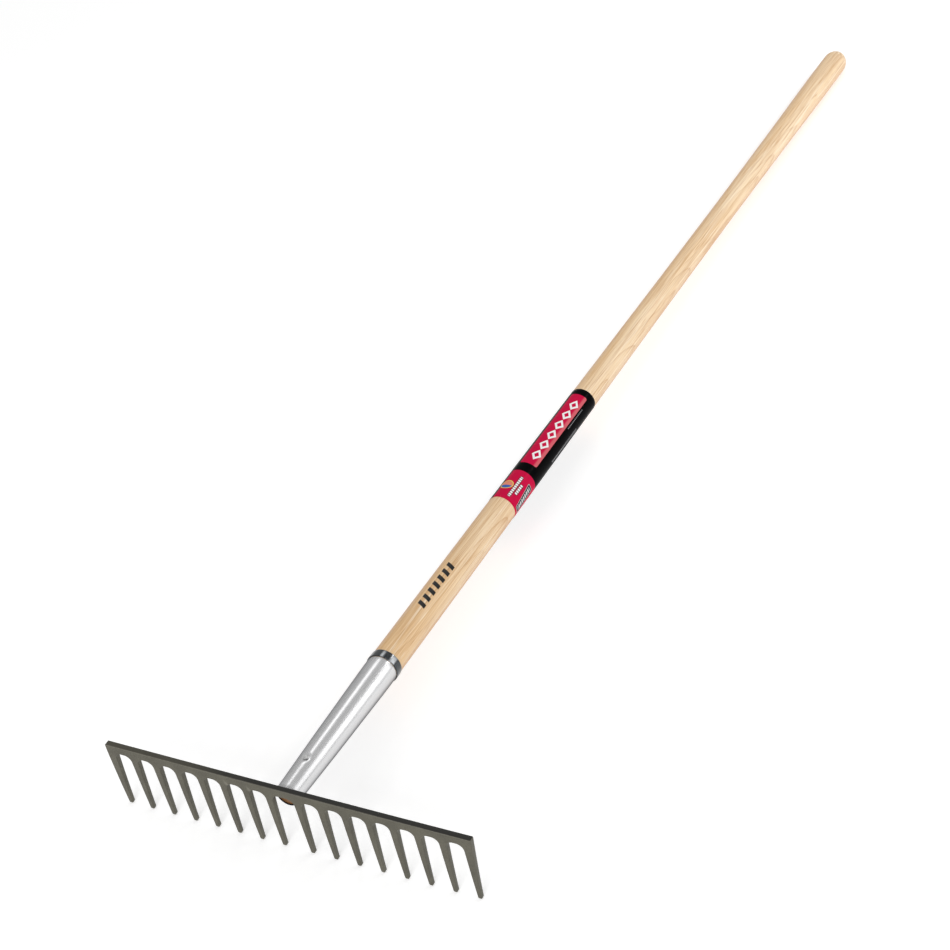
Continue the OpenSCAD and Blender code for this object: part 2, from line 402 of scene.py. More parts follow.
WOOD_CREAM = (0.95, 0.76, 0.52)
WOOD_HONEY = (0.88, 0.65, 0.40)
WOOD_TAN = (0.50, 0.245, 0.085)
WOOD_AMBER = (0.74, 0.44, 0.17)
WOOD_PORE = (0.36, 0.18, 0.07)
WOOD_RAY = (1.0, 0.88, 0.70)
END_GRAIN_DARK_AND_SHADE = (0.15, 0.058, 0.012)
INK = (0.004, 0.004, 0.004)
RING_SPACING = 3.3  # mm between growth rings
PITH_DEPTH = 62.0  # mm from the handle's axis to the tree's pith
GRAIN_TURN = math.radians(78)  # where the flat-sawn face lies, from the handle's top towards +X
GRAIN_SLOPE = -0.034  # how fast the rings run out along the handle
SLOW_SWAY, QUICK_SWAY = 14.0, 2.2  # mm by which the rings wander
# Each ring starts with a porous tan line and fades to pale late wood
RING_LINE = ((0.0, 0.2), (0.03, 1.0), (0.085, 0.6), (0.22, 0.2), (0.55, 0.05), (0.95, 0.0), (1.0, 0.2))
AMBER_FROM, AMBER_TO = -60.0, 240.0  # mm from the collar ring over which the amber fades
CONTOURS = ((0.50, WOOD_TAN), (0.57, WOOD_RAY))  # levels of a slow pattern: dark vessels and pale rays
CONTOUR_WIDTH = 0.028


def growth_rings(m, x, y, z):
    """(how deep in its ring's porous line a place is, how strong that ring is); x, y and z are in mm."""
    c, s = math.cos(GRAIN_TURN), math.sin(GRAIN_TURN)
    height = m.plus(m.times(x, s), m.times(z, c))
    across = m.minus(m.times(x, c), m.times(z, s))
    slow = m.times(m.minus(m.grain(9, 4.2, 2.0, 0.5), 0.5), SLOW_SWAY)
    quick = m.times(m.minus(m.grain(60, 11, 2.0, 0.5), 0.5), QUICK_SWAY)
    sway = m.plus(slow, quick)
    up = m.plus(height, PITH_DEPTH)
    from_pith = m.math("SQRT", m.plus(m.times(up, up), m.times(across, across)))
    ring = m.plus(m.plus(from_pith, m.times(y, GRAIN_SLOPE)), sway)
    turns = m.math("DIVIDE", ring, RING_SPACING)
    strength = m.math("MULTIPLY_ADD", m.random(m.math("FLOOR", turns)), 0.40, 0.34, clamp=True)
    return m.ramp(m.math("FRACT", turns), *RING_LINE), strength


def wood_material(marks):
    """Clear-finished ash with a printed sign; marks holds the places of what isn't wood figure, in mm."""
    m = Shade("ash_wood", TOOL)
    x, y, z = (m.math("DIVIDE", c, MM) for c in m.split(m.point))
    line, strength = growth_rings(m, x, y, z)
    fibre = m.grain(1100, 13, 3.0, 0.62)
    fine_fibre = m.grain(3200, 40, 2.0, 0.6)
    patches = m.grain(70, 5, 3.0, 0.55)
    streaks = m.grain(430, 4.5, 3.0, 0.6)
    base = m.mix(m.between(patches, 0.32, 0.70), WOOD_CREAM, WOOD_HONEY)
    base = m.mix(m.between(fibre, 0.42, 0.74, 0.0, 0.42), base, WOOD_TAN)
    base = m.mix(m.between(streaks, 0.44, 0.66, 0.0, 0.26), base, WOOD_TAN)
    amber = m.between(y, marks["ring"] + AMBER_FROM, marks["ring"] + AMBER_TO, 0.48, 0.0)
    base = m.mix(amber, base, WOOD_AMBER)
    broken = m.between(fibre, 0.30, 0.66, 0.45, 1.0)
    base = m.mix(m.times(m.times(line, strength), broken), base, WOOD_TAN)
    pattern = m.grain(330, 3.2, 2.0, 0.5)
    for level, tint in CONTOURS:
        near = m.math("ABSOLUTE", m.minus(pattern, level))
        base = m.mix(m.between(near, 0.0, CONTOUR_WIDTH, 0.55, 0.0), base, tint)
    # Painted shade: the left side is more golden, and the wood is browner away from the lit side
    left_side_shade = m.between(m.facing(x, z, LIT_SIDE_TURN - math.pi / 2), 0.20, 0.95, 0.0, 0.42)
    base = m.mix(left_side_shade, base, WOOD_AMBER)
    edge_shade = m.between(m.facing(x, z, LIT_SIDE_TURN), 0.12, 0.80, 0.70, 0.0)
    base = m.mix(edge_shade, base, WOOD_TAN)
    porous = m.times(m.between(fine_fibre, 0.60, 0.74), m.between(line, 0.12, 0.7, 0.12, 0.75))
    base = m.mix(porous, base, WOOD_PORE)
    # End grain under the ferrule is darker: open end grain in part, and painted shade of the ferrule and
    # the bar
    from_end = m.math("ABSOLUTE", m.minus(y, marks["end_grain"]))
    base = m.mix(m.between(from_end, 0.4, 1.6, 0.94, 0.0), base, END_GRAIN_DARK_AND_SHADE)
    # The printed sign on top of the handle
    arc = m.times(m.math("ARCTAN2", x, z), marks["radius"])
    sign = slanted_row(m, arc, y, marks["low"], marks["high"], *marks["bars"])
    worn = m.between(fibre, 0.26, 0.36, 0.80, 1.0)
    base = m.mix(m.times(sign, worn), base, INK)
    relief = m.plus(m.times(porous, -1.0), m.times(fibre, 0.25))
    m.set(Base_Color=base, Roughness=m.between(fibre, 0.3, 0.75, 0.36, 0.5))
    m.set(Normal=m.bump(relief, 0.00012, 0.55))
    m.set(Coat_Weight=0.20, Coat_Roughness=0.20, Specular_IOR_Level=0.28)
    return m.material


FORGED_DARK = (0.072, 0.066, 0.046)
FORGED_LIGHT = (0.098, 0.091, 0.064)
FORGED_WEAR_AND_HIGHLIGHT = (0.24, 0.225, 0.185)


def forged_material():
    """A dark coat on hammered steel, rubbed off on the edges, with painted shade on the bar's top and a
    painted highlight on its front top edge.
    """
    m = Shade("forged_coat", HEAD)
    cloudy = m.noise(m.point, 38.0, 4.0, 0.55)
    speck = m.noise(m.point, 900.0, 3.0, 0.6)
    hammered = m.noise(m.point, 210.0, 2.0, 0.5)
    colour = m.mix(m.between(cloudy, 0.30, 0.72), FORGED_DARK, FORGED_LIGHT)
    colour = m.mix(m.between(speck, 0.46, 0.72, 0.0, 0.5), colour, toned(FORGED_DARK, 0.68))
    geo = m.tree.nodes.new("ShaderNodeNewGeometry")
    rubbed = m.between(geo.outputs["Pointiness"], 0.52, 0.60, 0.0, 0.45)
    colour = m.mix(m.times(rubbed, m.between(cloudy, 0.35, 0.6, 0.4, 1.0)), colour, FORGED_WEAR_AND_HIGHLIGHT)
    # Painted shade: the coat is darker on the bar's flat top, most of all in the middle and on the right
    x, y, z = m.split(m.point)
    top_shade = m.between(z, -0.35 * MM, -0.1 * MM)
    wavy_x = m.math("MULTIPLY_ADD", m.minus(cloudy, 0.5), 0.12, x)
    depth = m.between(wavy_x, -0.13, -0.02, 0.36, 1.0)
    colour = m.mix(m.times(top_shade, depth), colour, toned(FORGED_DARK, 0.16))
    # Painted highlight: a lighter line along the front top edge
    edge_highlight = m.times(m.between(z, -0.9 * MM, -0.4 * MM), m.between(y, 0.6 * MM, 1.1 * MM, 1.0, 0.0))
    colour = m.mix(m.times(edge_highlight, m.between(speck, 0.3, 0.6, 0.15, 0.45)), colour, FORGED_WEAR_AND_HIGHLIGHT)
    m.set(Base_Color=colour, Roughness=m.between(speck, 0.3, 0.75, 0.44, 0.62))
    m.set(Normal=m.bump(m.plus(hammered, m.times(speck, 0.35)), 0.0002, 0.5))
    m.set(Specular_IOR_Level=0.36, Coat_Weight=0.05, Coat_Roughness=0.35)
    return m.material


DRAWN_STEEL = (0.71, 0.71, 0.715)
MOUTH_SHADE_BLUE = (0.016, 0.018, 0.026)


def drawn_steel_material(low):
    """Bright steel with fine marks along the handle, painted shade away from its lit side, a painted
    reflection of the bar next to its mouth, and painted shade in dark blue on the lower half of its cut
    lower end at low.
    """
    m = Shade("drawn_steel", TOOL)
    x, y, z = m.split(m.point)
    marks = m.noise(m.unrolled(x, y, z, 15.0, 4.0), 3.0, 4.0, 0.6)
    fine = m.grain(2600, 60, 2.0, 0.5)
    cloudy = m.noise(m.point, 30.0, 3.0, 0.5)
    tint = m.mix(m.between(marks, 0.3, 0.7, 0.90, 1.0), toned(DRAWN_STEEL, 0.72), DRAWN_STEEL)
    tint = m.mix(m.between(cloudy, 0.4, 0.75, 0.0, 0.14), tint, toned(DRAWN_STEEL, 0.8))
    # Painted shade and reflection: the steel is darker away from the lit side, and next to the mouth it
    # carries a painted reflection of the bar's dark back
    side_shade = m.between(m.facing(x, z, LIT_SIDE_TURN), 0.10, 0.66, 0.86, 0.0)
    tint = m.mix(side_shade, tint, toned(DRAWN_STEEL, 0.38))
    mouth = m.between(y, low + 1.2 * MM, low + 3.4 * MM, 0.6, 0.0)
    tint = m.mix(mouth, tint, toned(DRAWN_STEEL, 0.62))
    # Painted shade: the lower half of the cut lower end, under the bar, is dark blue
    at_end = m.between(y, low + 0.25 * MM, low + 0.6 * MM, 1.0, 0.0)
    lower_half = m.between(z, -6 * MM, -1 * MM, 1.0, 0.0)
    tint = m.mix(m.times(at_end, lower_half), tint, MOUTH_SHADE_BLUE)
    m.set(Base_Color=tint, Roughness=m.between(fine, 0.25, 0.75, 0.26, 0.29))
    m.set(Normal=m.bump(fine, 0.00002, 0.03), Metallic=1.0, Specular_Tint=(0.35, 0.35, 0.36, 1))
    return m.material


def dark_edge_material():
    """The ferrule's inner side, painted dark as shade."""
    m = Shade("inner_wall_shade")
    patches = m.noise(m.point, 260.0, 3.0, 0.6)
    m.set(Base_Color=m.mix(patches, (0.012, 0.014, 0.020), (0.035, 0.038, 0.048)))
    m.set(Roughness=m.between(patches, 0.3, 0.7, 0.3, 0.5), Metallic=0.6)
    m.set(Normal=m.bump(patches, 0.0001, 0.4))
    return m.material


# The ring's painted highlights: (turn from the top towards +X, cosine at which it starts, strength)
RING_HIGHLIGHTS = ((math.radians(47), 0.965, 0.62), (math.radians(8), 0.990, 0.40))
RING_HIGHLIGHT_COLOUR = (0.62, 0.64, 0.66)


def gunmetal_material():
    """Dark turned steel with two painted highlights."""
    m = Shade("gunmetal", TOOL)
    x, y, z = m.split(m.point)
    turned = m.noise(m.unrolled(x, y, z, 2.0, 1800.0), 1.0, 3.0, 0.6)
    spots = m.noise(m.point, 420.0, 3.0, 0.6)
    colour = m.mix(m.between(spots, 0.35, 0.7), (0.022, 0.027, 0.031), (0.055, 0.063, 0.068))
    for turn, start, strength in RING_HIGHLIGHTS:
        # Painted highlight on the ring
        bright = m.between(m.facing(x, z, turn), start, 0.9995, 0.0, strength)
        colour = m.mix(m.times(bright, m.between(turned, 0.2, 0.7, 0.6, 1.0)), colour, RING_HIGHLIGHT_COLOUR)
    m.set(Base_Color=colour, Roughness=m.between(turned, 0.25, 0.75, 0.16, 0.26))
    m.set(Normal=m.bump(turned, 0.00006, 0.35), Metallic=0.85, Coat_Weight=0.6, Coat_Roughness=0.08)
    return m.material


def pin_material():
    m = Shade("peened_steel")
    dents = m.cells(m.point, 1500.0)
    spots = m.noise(m.point, 700.0, 3.0, 0.6)
    m.set(Base_Color=m.mix(spots, (0.50, 0.50, 0.50), (0.78, 0.78, 0.77)))
    m.set(Roughness=m.between(spots, 0.3, 0.7, 0.22, 0.4), Normal=m.bump(dents, 0.00015, 0.5), Metallic=1.0)
    return m.material


CRIMSON = (0.545, 0.006, 0.050)
CRIMSON_PALE = (0.60, 0.009, 0.062)
CRIMSON_DARK = (0.16, 0.02, 0.03)
FILM_BLACK = (0.0015, 0.0015, 0.0017)
SALMON_PRINT_AND_SHEEN = (0.64, 0.14, 0.16)
PRINT_WHITE = (0.86, 0.86, 0.86)
BADGE_GOLD = (0.80, 0.62, 0.14)
BADGE_SKY = (0.74, 0.26, 0.17)
BADGE_BLUE = (0.05, 0.13, 0.42)
PLATE_RIM = (0.42, 0.44, 0.44)
PLATE_DARK = (0.035, 0.04, 0.045)
PLATE_BARS = (0.62, 0.64, 0.64)
# The label's printed fields, in mm: (middle of the arc, middle along), (arc, length), corners' radius
LOWER_BAND = ((17.2, 23.0), (51.2, 54.0), 0.4)
LONG_PANEL = ((2.9, 132.0), (21.0, 135.0), 2.6)
FADE_FROM, FADE_TO = 8.2, 11.2  # arc over which the panel turns to salmon
DIAMONDS = (72.0, 189.0, 5.0, (11.4, 18.4), 19.5, 4.6)  # as diamond_row takes them
BADGE_AT = (-2.6, 23.0)
BADGE_WIDTH, BADGE_FACE = 14.6, 12.8
BADGE_LOWER_HALF = ((-2.6, 16.0), (20.0, 12.0), 0.0)
WHITE_ROWS = ((7.4, 23.5, 34.0), (12.4, 22.5, 16.0))  # (arc, middle along, length)
PLATE_AT = (26.3, 22.0)
PLATE_LEAN = 0.12
THIN_LINES = (  # (arc, middle along, length, width, colour)
    (16.1, 163.0, 38.0, 1.3, (0.30, 0.30, 0.31)),
    (26.2, 126.0, 66.0, 2.2, (0.34, 0.34, 0.35)),
)


def badge(m, u, v, colour):
    """A round badge with a pale rim, a sky and a field."""
    for width, tint in ((BADGE_WIDTH, BADGE_GOLD), (BADGE_FACE, BADGE_SKY)):
        colour = m.mix(box_mask(m, u, v, BADGE_AT, (width, width), width / 2), colour, tint)
    face = box_mask(m, u, v, BADGE_AT, (BADGE_FACE, BADGE_FACE), BADGE_FACE / 2)
    return m.mix(m.times(face, box_mask(m, u, v, *BADGE_LOWER_HALF)), colour, BADGE_BLUE)


def white_rows(m, u, v, colour):
    """Rows of short bars beside the badge, on a dark ground."""
    for at, middle, length in WHITE_ROWS:
        ground = box_mask(m, u, v, (at, middle), (4.4, length + 1.6), 1.2)
        colour = m.mix(ground, colour, CRIMSON_DARK)
        bars = row_mask(m, u, v, (at, middle), (3.0, length), 3.4, 2.5, 0.5)
        colour = m.mix(bars, colour, PRINT_WHITE)
    return colour


def plate(m, u, v, colour):
    """A slanted grey plate on the right side, with a row of bars."""
    lean = m.math("MULTIPLY_ADD", v, PLATE_LEAN, u)
    for size, tint in (((8.6, 37.0), PLATE_RIM), ((7.4, 35.6), PLATE_DARK)):
        colour = m.mix(box_mask(m, lean, v, PLATE_AT, size, 1.6), colour, tint)
    return m.mix(row_mask(m, lean, v, PLATE_AT, (4.4, 31.0), 3.9, 2.5, 0.5), colour, PLATE_BARS)


def label_material(radius, low):
    """Black film with crimson fields and plain signs; v is in mm from the label's lower end at low."""
    m = Shade("printed_film", TOOL)
    u, place = arc_and_place(m, radius)
    v = m.minus(place, low)
    flow = m.noise(m.point, 90.0, 3.0, 0.5)
    colour = m.mix(flow, FILM_BLACK, toned(FILM_BLACK, 1.9))
    crimson = m.mix(flow, CRIMSON, CRIMSON_PALE)
    panel = box_mask(m, u, v, *LONG_PANEL)
    for field in (box_mask(m, u, v, *LOWER_BAND), panel):
        colour = m.mix(field, colour, crimson)
    # The panel turns salmon along its right edge: print in part, a painted sheen in part
    colour = m.mix(m.times(panel, m.between(u, FADE_FROM, FADE_TO, 0.0, 0.85)), colour, SALMON_PRINT_AND_SHEEN)
    colour = m.mix(diamond_row(m, u, v, *DIAMONDS), colour, PRINT_WHITE)
    for printed in (badge, white_rows, plate):
        colour = printed(m, u, v, colour)
    # Thin broken lines on the black side
    for at, middle, length, wide, tint in THIN_LINES:
        line = row_mask(m, u, v, (at, middle), (wide, length), 2.6, 1.5, 0.3)
        colour = m.mix(m.times(line, 0.85), colour, tint)
    ripple = m.grain(30, 12, 2.0, 0.5)
    m.set(Base_Color=colour, Roughness=m.between(flow, 0.3, 0.7, 0.22, 0.30))
    m.set(Normal=m.bump(ripple, 0.0002, 0.2), IOR=1.16, Specular_IOR_Level=0.10)
    return m.material


# ---- the forged head
TINE_PITCH = 25.4 * MM
MIDDLE_GAP = 31.4 * MM
TINES_A_SIDE = 8
BAR_HEIGHT = 9.2 * MM
BAR_SWEEP = 0.6 * MM  # how far the bar's ends lie behind its middle
END_FLARE = 1.4 * MM  # how far the top corners stand out beyond the plain taper of the outer tines
ARCH_RADIUS = 7.4 * MM
TINE_LENGTH = 82.89 * MM
TINE_ROOT = 8.2 * MM
TINE_TIP = 4.0 * MM
TIP_DEPTH = 4.2 * MM
TINE_CURVE = 2.1 * MM
CORNER = 1.2 * MM  # rounding of the bar's ends seen from the front
EDGE = 0.5 * MM  # rounding of the forging's edges
EDGE_STEPS = 4
SKIN = 0.01 * MM  # how far the faces lie inside the plain model's
SUPPORT = 0.3 * MM  # flat strip beside a rounded edge, which keeps the faces' shading flat
TIP_EASE = 2.0 * MM  # a tine thins from front to back over this length at its tip
TIP_THIN = 0.30  # by this share
SIDE_STEPS, TIP_STEPS, ARCH_STEPS, TOP_STEPS = 12, 14, 12, 78

RIGHT_TINES = [MIDDLE_GAP / 2 + k * TINE_PITCH for k in range(TINES_A_SIDE)]
TINE_PLACES = [-x for x in RIGHT_TINES[::-1]] + RIGHT_TINES
BAR_LENGTH = 2 * (max(TINE_PLACES) + TINE_ROOT / 2 + END_FLARE)
SLOPE = math.atan((TINE_ROOT - TINE_TIP) / 2 / TINE_LENGTH)
TIP_RADIUS = (TINE_ROOT / 2 * math.cos(SLOPE) - TINE_LENGTH * math.sin(SLOPE)) / (1 - math.sin(SLOPE))
TIP_CENTRE = TINE_LENGTH - TIP_RADIUS
WEB = BAR_HEIGHT + ARCH_RADIUS  # depth of the arches' centres


def half_width(depth, flares=False):
    """From a tine's middle to its side; the outer side of an outer tine flares towards the bar's corner."""
    extra = END_FLARE * (1 - depth / TINE_LENGTH) if flares else 0.0
    return TINE_ROOT / 2 - depth * math.tan(SLOPE) + extra


def smooth(t):
    """Rises smoothly from 0 at t = 0 to 1 at t = 1, and holds outside."""
    t = min(1.0, max(0.0, t))
    return t * t * (3 - 2 * t)


def head_outline():
    """The forging seen from the front as (x, z), counter-clockwise from its upper left corner."""
    first, last = TINE_PLACES[0], TINE_PLACES[-1]
    corner_left = (first - half_width(0, True), 0.0)
    corner_right = (last + half_width(0, True), 0.0)
    below = 20 * MM  # a depth that gives the direction of the outer sides
    below_left = (first - half_width(below, True), -below)
    below_right = (last + half_width(below, True), -below)
    points = round_corner(corner_left, (0.0, 0.0), below_left, CORNER)

    def arc(cx, cz, r, start, end, steps):
        for i in range(steps + 1):
            a = start + (end - start) * i / steps
            points.append((cx + r * math.cos(a), cz + r * math.sin(a)))

    def side(x, sign, start, end):
        outer = x == (first if sign < 0 else last)
        for i in range(SIDE_STEPS + 1):
            d = start + (end - start) * i / SIDE_STEPS
            points.append((x + sign * half_width(d, outer), -d))

    low = TIP_CENTRE + TIP_RADIUS * math.sin(SLOPE) - 1 * MM  # just above where the tip's arc begins
    high = WEB - ARCH_RADIUS * math.sin(SLOPE) + 2 * MM  # just below where an arch ends
    inset = half_width(WEB) + ARCH_RADIUS / math.cos(SLOPE)
    for k, x in enumerate(TINE_PLACES):
        side(x, -1, 3 * CORNER if x == first else high, low)
        arc(x, -TIP_CENTRE, TIP_RADIUS, math.pi + SLOPE, TAU - SLOPE, TIP_STEPS)
        side(x, 1, low, 3 * CORNER if x == last else high)
        if x != last:
            following = TINE_PLACES[k + 1]
            arc(x + inset, -WEB, ARCH_RADIUS, math.pi - SLOPE, math.pi / 2, ARCH_STEPS)
            flat = following - x - 2 * inset
            points += [(x + inset + flat * i / 4, -BAR_HEIGHT) for i in (1, 2, 3)]
            arc(following - inset, -WEB, ARCH_RADIUS, math.pi / 2, SLOPE, ARCH_STEPS)
    points += round_corner(corner_right, below_right, (0.0, 0.0), CORNER)
    left, right = corner_left[0] + 2 * CORNER, corner_right[0] - 2 * CORNER
    points += [(right + (left - right) * i / TOP_STEPS, 0.0) for i in range(TOP_STEPS + 1)]
    return np.array(points)


def inward(outline, distance):
    """The outline moved into the material by a distance."""
    before, after = np.roll(outline, 1, axis=0), np.roll(outline, -1, axis=0)

    def normal(edge):
        n = np.stack([-edge[:, 1], edge[:, 0]], axis=1)
        return n / np.linalg.norm(n, axis=1)[:, None]

    n1, n2 = normal(outline - before), normal(after - outline)
    n = n1 + n2
    n /= np.linalg.norm(n, axis=1)[:, None]
    return outline + n * (distance / np.maximum(0.5, (n * n1).sum(axis=1)))[:, None]


def head_faces_at(x, z):
    """(front, back) of the forging's faces at a place seen from the front."""
    depth = max(0.0, -z)
    sweep = BAR_SWEEP * (2 * x / BAR_LENGTH) ** 2
    below = smooth((depth - BAR_HEIGHT) / (2 * ARCH_RADIUS))
    middle = sweep + BAR_DEPTH / 2 + TINE_CURVE * (depth / TINE_LENGTH) ** 2 * below
    thick = BAR_DEPTH - (BAR_DEPTH - TIP_DEPTH) * depth / TINE_LENGTH * below
    into_tip = max(0.0, (depth - TINE_LENGTH + TIP_EASE) / TIP_EASE)
    thick *= 1 - TIP_THIN * (1 - math.sqrt(max(0.0, 1 - into_tip**2)))
    return middle - thick / 2 + SKIN, middle + thick / 2 - SKIN


def inner_points():
    """Points inside the faces, so that their triangles follow the sweep and the curve."""
    made = []
    for x in np.arange(-BAR_LENGTH / 2 + 5 * MM, BAR_LENGTH / 2 - 4.9 * MM, 4.2 * MM):
        made += [(x, -2.9 * MM), (x, -5.9 * MM)]
    for x in TINE_PLACES:
        made += [(x, -d) for d in np.arange(11 * MM, TIP_CENTRE, 4 * MM)]
    return made


def face_mesh(outline):
    """(points, triangles, index of each outline point) of the flat region inside an outline."""
    n = len(outline)
    given = [Vector(p) for p in outline] + [Vector(p) for p in inner_points()]
    edges = [(i, (i + 1) % n) for i in range(n)]
    made = geometry.delaunay_2d_cdt(given, edges, [list(range(n))], 1, 1e-7)
    points, faces, origin = made[0], made[2], made[3]
    place_of = {k: i for i, sources in enumerate(origin) for k in sources}
    return points, faces, place_of


def head_mesh():
    """Two triangulated faces, a rounded edge along each, and the wall between them."""
    outline = head_outline()
    n = len(outline)
    rings = []  # (outline, how far it lies behind the face)
    for k in range(EDGE_STEPS + 1):
        a = math.pi / 2 * k / EDGE_STEPS
        rings.append((inward(outline, EDGE * (1 - math.sin(a))), EDGE * (1 - math.cos(a))))
    points, triangles, place_of = face_mesh(inward(outline, EDGE + SUPPORT))
    verts, faces = [], []
    start, rows = [], ([], [])  # first vertex of each face, and of each ring on either side
    for side in (0, 1):
        start.append(len(verts))
        verts += [(x, head_faces_at(x, z)[side], z) for x, z in points]
        for f in triangles:
            face = [start[side] + i for i in f]
            faces.append(face[::-1] if side else face)
    for side, sign in ((0, 1), (1, -1)):
        for ring, behind in rings:
            rows[side].append(len(verts))
            for (x, z), (ox, oz) in zip(ring, outline):
                verts.append((x, head_faces_at(ox, oz)[side] + sign * behind, z))

    def rim(side, i):
        return start[side] + place_of[i]

    for i in range(n):
        j = (i + 1) % n
        first = rows[0][0]
        faces.append((rim(0, i), first + i, first + j, rim(0, j)))
        for a, b in zip(rows[0], rows[0][1:]):
            faces.append((a + i, b + i, b + j, a + j))
        wall_a, wall_b = rows[0][-1], rows[1][-1]
        faces.append((wall_a + i, wall_b + i, wall_b + j, wall_a + j))
        for a, b in zip(rows[1], rows[1][1:]):
            faces.append((a + j, b + j, b + i, a + i))
        first = rows[1][0]
        faces.append((rim(1, j), first + j, first + i, rim(1, i)))
    return verts, faces


AXIS_DROP = 14.0 * MM  # from the handle's axis up to the bar's top
TANG_R = 3.8 * MM
TANG_POINT_R = 2.5 * MM
TANG_REACH = 130 * MM
TANG_COUNT = 28
NECK_TOP = (BAR_DEPTH / 2, AXIS_DROP - BAR_HEIGHT + TANG_R)
NECK_BOTTOM = (16 * MM, 0.0)
NECK_STRAIGHT = 0.72  # share of the neck before it bends into the spike
BEND_END = (23 * MM, 0.0)
NECK_FLARE = 3.6 * MM  # how much wider the neck is where it leaves the bar
FLARE_REACH = 6.5 * MM
SAME_PLACE = 0.002 * MM  # vertices nearer than this are one vertex


def tang_path():
    """(y, z) down the neck, round the bend and along the handle's axis."""
    top, corner, end = np.array(NECK_TOP), np.array(NECK_BOTTOM), np.array(BEND_END)
    path = [top + (corner - top) * t for t in np.linspace(0, NECK_STRAIGHT, 12)]
    start = path[-1]
    path += [(1 - t) ** 2 * start + 2 * t * (1 - t) * corner + t * t * end for t in np.linspace(0.1, 1, 10)]
    path += [np.array((y, 0.0)) for y in np.linspace(end[0] + 4 * MM, TANG_REACH, 12)]
    return np.array(path)


def tang_mesh():
    """The neck from the bar to the handle's axis and the spike along it, in the tool frame."""
    path = tang_path()
    along = np.concatenate([[0], np.cumsum(np.linalg.norm(np.diff(path, axis=0), axis=1))])
    verts, faces = [], []
    for i, (p, d) in enumerate(zip(path, along)):
        step = path[min(i + 1, len(path) - 1)] - path[max(i - 1, 0)]
        step /= np.linalg.norm(step)
        share = max(0.0, (p[0] - NECK_BOTTOM[0]) / (TANG_REACH - NECK_BOTTOM[0]))
        r = TANG_R + (TANG_POINT_R - TANG_R) * share
        wide = r + NECK_FLARE * math.exp(-((d / FLARE_REACH) ** 2))
        for k in range(TANG_COUNT):
            a = TAU * (k + 0.5) / TANG_COUNT
            lift = r * math.cos(a)
            verts.append((wide * math.sin(a), p[0] - step[1] * lift, p[1] + step[0] * lift))
    for i in range(len(path) - 1):
        row, following = i * TANG_COUNT, (i + 1) * TANG_COUNT
        for k in range(TANG_COUNT):
            m = (k + 1) % TANG_COUNT
            faces.append((row + k, row + m, following + m, following + k))
    faces.append(list(range(TANG_COUNT))[::-1])
    faces.append([(len(path) - 1) * TANG_COUNT + k for k in range(TANG_COUNT)])
    return verts, faces


def clean_mesh(mesh):
    """Joins vertices that lie on one another and removes faces without area."""
    bm = bmesh.new()
    bm.from_mesh(mesh)
    bmesh.ops.remove_doubles(bm, verts=bm.verts[:], dist=SAME_PLACE)
    bmesh.ops.dissolve_degenerate(bm, dist=SAME_PLACE, edges=bm.edges[:])
    bm.to_mesh(mesh)
    bm.free()


def make_head(material):
    """The forging with its tang, as one closed mesh."""
    head = placed_mesh("rake_head_forging", *head_mesh(), HEAD, material)
    spike = placed_mesh("tang_spike", *tang_mesh(), TOOL, material)
    join = head.modifiers.new("join", "BOOLEAN")
    join.operation, join.solver, join.object = "UNION", "EXACT", spike
    bpy.context.view_layer.update()
    whole = bpy.data.meshes.new_from_object(head.evaluated_get(bpy.context.evaluated_depsgraph_get()))
    head.modifiers.clear()
    clean_mesh(whole)
    head.data = whole
    whole.name = "rake_head_forging"
    bpy.data.objects.remove(spike)
    finish_piece(head, "rake_head", 38)


# ---- the round pieces
PIN_PLACE = 48 * MM
PIN_DISH = 0.55 * MM  # how far the ferrule is hammered in round the pin
PIN_DISH_R = 5.2 * MM
FERRULE_WALL = 1.4 * MM
FILED_EDGE = 1.1 * MM  # rounding of the outer edge at the mouth
MOUTH_SLANT = 1.2 * MM  # how much nearer the bar the mouth comes at its top
MOUTH_REACH = 12 * MM  # the slant is taken up over this length
FERRULE_COUNT = 192
TAPER_EASE = 7 * MM  # the taper changes gently over this length on both sides
TOP_RIM = 0.55 * MM
INNER_RIM = 0.2 * MM


def make_ferrule(bright, dark):
    """The tapered sleeve: outside and inside walls with rounded rims, dished round the pin."""
    low, high = span("ferrule")
    places, radii = outside("ferrule")
    near_pin = np.linspace(PIN_PLACE - 9 * MM, PIN_PLACE + 9 * MM, 25)
    stations = np.unique(np.round(np.concatenate([np.linspace(low, high, 38), near_pin]), 6))

    def radius(s):
        near = np.linspace(s - TAPER_EASE, s + TAPER_EASE, 9)
        return float(np.interp(np.clip(near, low, high), places, radii).mean())

    outer = [(s, radius(s)) for s in stations]
    outer[0] = (low, float(radii[0]))
    inner = [(s, radius(s) - FERRULE_WALL) for s in np.linspace(high, low, 14)]
    corners = [0] * (len(outer) + len(inner))
    corners[0], corners[-1] = FILED_EDGE, INNER_RIM
    corners[len(outer) - 1] = corners[len(outer)] = TOP_RIM
    loop = rounded_loop(outer + inner, corners)

    def dish(s, r, a):
        if r < radius(s) - FERRULE_WALL / 2:
            return 0.0
        arc = min(a, TAU - a, abs(a - math.pi)) * r
        return -PIN_DISH * math.exp(-((math.hypot(s - PIN_PLACE, arc) / PIN_DISH_R) ** 4))

    verts, faces = lathe_mesh(loop, FERRULE_COUNT, True, dish)
    for i, (x, s, z) in enumerate(verts):
        near_mouth = max(0.0, 1 - (s - low) / MOUTH_REACH)
        verts[i] = (x, s - MOUTH_SLANT * near_mouth * max(0.0, z / math.hypot(x, z)), z)
    ob = new_piece("ferrule_shell", verts, faces, bright, "ferrule", 35)
    ob.data.materials.append(dark)
    to_tool = TOOL.inverted()
    for p in ob.data.polygons:
        c = to_tool @ p.center
        inside = math.hypot(c.x, c.z) < radius(c.y) - FERRULE_WALL * 0.8
        p.material_index = 1 if inside else 0


